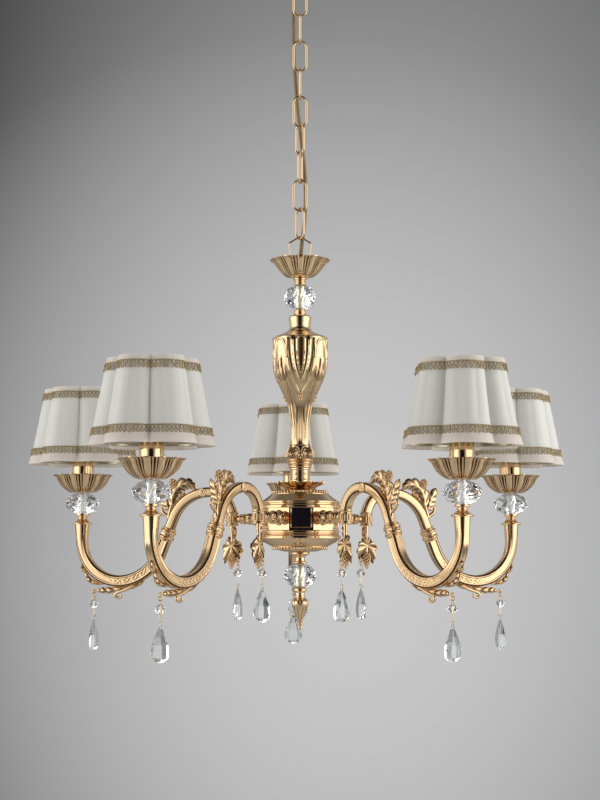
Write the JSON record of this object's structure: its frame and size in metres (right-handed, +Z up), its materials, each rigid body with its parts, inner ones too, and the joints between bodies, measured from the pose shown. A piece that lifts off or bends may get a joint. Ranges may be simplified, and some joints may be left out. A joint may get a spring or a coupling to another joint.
{
  "type": "chandelier",
  "caption": "Hanging chandelier with curved cast arms on a turned column, lobed fabric shades on candle sleeves, crystal balls and crystal drops, hung by a chain from a ceiling rose.",
  "frame": {"origin": "on the ceiling, at the middle of the ceiling rose and between its two screws", "axes": "+Z up along the column and the chain, -Y the front, +X to the right seen from the front"},
  "size_m": [0.6876, 0.6606, 0.911],
  "materials": {
    "gold_brass": "polished, light gold",
    "crystal": "cut and polished clear crystal",
    "shade_fabric": "satin ivory fabric with gold braid bands",
    "frame_wire": "zinc plated steel",
    "bulb_glass": "frosted glass",
    "holder_plastic": "moulded plastic",
    "cord_sheath": "bronze coloured sheath"
  },
  "bodies": {
    "ceiling_fitting": {"ceiling_rose": "gold_brass", "ceiling_bar": "frame_wire", "ceiling_nipple": "frame_wire"},
    "loop": {"collar_loop": "gold_brass"},
    "chain": {"chain": "gold_brass", "supply_cord": "cord_sheath"},
    "bail": {"bail": "gold_brass"},
    "frame": {"top_cup": "gold_brass", "hanger": "gold_brass", "collar_rings": "gold_brass", "upper_ball": "crystal", "neck_cap": "gold_brass", "vase": "gold_brass", "knop": "gold_brass", "column_tube": "gold_brass", "centre_rod": "frame_wire", "hub_top_cover": "gold_brass", "hub_drum": "gold_brass", "hub_bottom_cover": "gold_brass", "wiring_block": "holder_plastic", "lower_collar": "gold_brass", "lower_ball": "crystal", "finial": "gold_brass", "arm_1": "gold_brass", "arm_2": "gold_brass", "arm_3": "gold_brass", "arm_4": "gold_brass", "arm_5": "gold_brass", "arm_knuckles": "gold_brass", "leaf_sprays": "gold_brass", "leaf_pendants": "gold_brass", "arm_spigots": "gold_brass", "arm_barrels": "gold_brass", "lamp_flanges": "gold_brass", "lamp_balls": "crystal", "drip_cups": "gold_brass", "lampholders": "holder_plastic", "candle_sleeves": "gold_brass", "candle_bulbs": "bulb_glass"},
    "shade_1": {"shade_1": "shade_fabric", "shade_frame_1": "frame_wire"},
    "shade_2": {"shade_2": "shade_fabric", "shade_frame_2": "frame_wire"},
    "shade_3": {"shade_3": "shade_fabric", "shade_frame_3": "frame_wire"},
    "shade_4": {"shade_4": "shade_fabric", "shade_frame_4": "frame_wire"},
    "shade_5": {"shade_5": "shade_fabric", "shade_frame_5": "frame_wire"},
    "strand_1": {"strand_1": "crystal"},
    "strand_2": {"strand_2": "crystal"},
    "strand_3": {"strand_3": "crystal"},
    "strand_4": {"strand_4": "crystal"},
    "strand_5": {"strand_5": "crystal"},
    "strand_6": {"strand_6": "crystal"},
    "strand_7": {"strand_7": "crystal"},
    "strand_8": {"strand_8": "crystal"},
    "strand_9": {"strand_9": "crystal"},
    "strand_10": {"strand_10": "crystal"}
  },
  "joints": [
    {"name": "loop_swivel", "type": "hinge", "parent": "ceiling_fitting", "child": "loop", "pos_m": [0, 0, -0.058], "axis": [0, 0, 1], "range_deg": [-90, 90], "deforming": ["supply_cord"]},
    {"name": "chain_swing", "type": "hinge", "parent": "loop", "child": "chain", "pos_m": [0, 0, -0.073], "axis": [0, 1, 0], "range_deg": [-30, 30], "deforming": ["supply_cord"]},
    {"name": "bail_swing", "type": "hinge", "parent": "chain", "child": "bail", "pos_m": [0, 0, -0.3968], "axis": [0.5736, -0.8192, 0], "range_deg": [-20, 20], "deforming": ["supply_cord"]},
    {"name": "frame_swing", "type": "hinge", "parent": "bail", "child": "frame", "pos_m": [0, 0, -0.4379], "axis": [1, 0, 0], "range_deg": [-25, 25], "deforming": ["supply_cord"]},
    {"name": "shade_1_lift", "type": "slide", "parent": "frame", "child": "shade_1", "axis": [0, 0, 1], "range_m": [0, 0.11]},
    {"name": "shade_2_lift", "type": "slide", "parent": "frame", "child": "shade_2", "axis": [0, 0, 1], "range_m": [0, 0.11]},
    {"name": "shade_3_lift", "type": "slide", "parent": "frame", "child": "shade_3", "axis": [0, 0, 1], "range_m": [0, 0.11]},
    {"name": "shade_4_lift", "type": "slide", "parent": "frame", "child": "shade_4", "axis": [0, 0, 1], "range_m": [0, 0.11]},
    {"name": "shade_5_lift", "type": "slide", "parent": "frame", "child": "shade_5", "axis": [0, 0, 1], "range_m": [0, 0.11]},
    {"name": "strand_1_swing", "type": "hinge", "parent": "frame", "child": "strand_1", "pos_m": [0.16038, -0.22075, -0.83746], "axis": [0.809, 0.5878, 0], "range_deg": [-45, 45]},
    {"name": "strand_2_swing", "type": "hinge", "parent": "frame", "child": "strand_2", "pos_m": [0.2595, 0.08432, -0.83746], "axis": [-0.309, 0.9511, 0], "range_deg": [-45, 45]},
    {"name": "strand_3_swing", "type": "hinge", "parent": "frame", "child": "strand_3", "pos_m": [0, 0.27286, -0.83746], "axis": [-1, 0, 0], "range_deg": [-45, 45]},
    {"name": "strand_4_swing", "type": "hinge", "parent": "frame", "child": "strand_4", "pos_m": [-0.2595, 0.08432, -0.83746], "axis": [-0.309, -0.9511, 0], "range_deg": [-45, 45]},
    {"name": "strand_5_swing", "type": "hinge", "parent": "frame", "child": "strand_5", "pos_m": [-0.16038, -0.22075, -0.83746], "axis": [0.809, -0.5878, 0], "range_deg": [-45, 45]},
    {"name": "strand_6_swing", "type": "hinge", "parent": "frame", "child": "strand_6", "pos_m": [0.04744, -0.0653, -0.7984], "axis": [0.809, 0.5878, 0], "range_deg": [-5, 40]},
    {"name": "strand_7_swing", "type": "hinge", "parent": "frame", "child": "strand_7", "pos_m": [0.07676, 0.02494, -0.7984], "axis": [-0.309, 0.9511, 0], "range_deg": [-5, 40]},
    {"name": "strand_8_swing", "type": "hinge", "parent": "frame", "child": "strand_8", "pos_m": [0, 0.08071, -0.7984], "axis": [-1, 0, 0], "range_deg": [-5, 40]},
    {"name": "strand_9_swing", "type": "hinge", "parent": "frame", "child": "strand_9", "pos_m": [-0.07676, 0.02494, -0.7984], "axis": [-0.309, -0.9511, 0], "range_deg": [-5, 40]},
    {"name": "strand_10_swing", "type": "hinge", "parent": "frame", "child": "strand_10", "pos_m": [-0.04744, -0.0653, -0.7984], "axis": [0.809, -0.5878, 0], "range_deg": [-5, 40]}
  ]
}
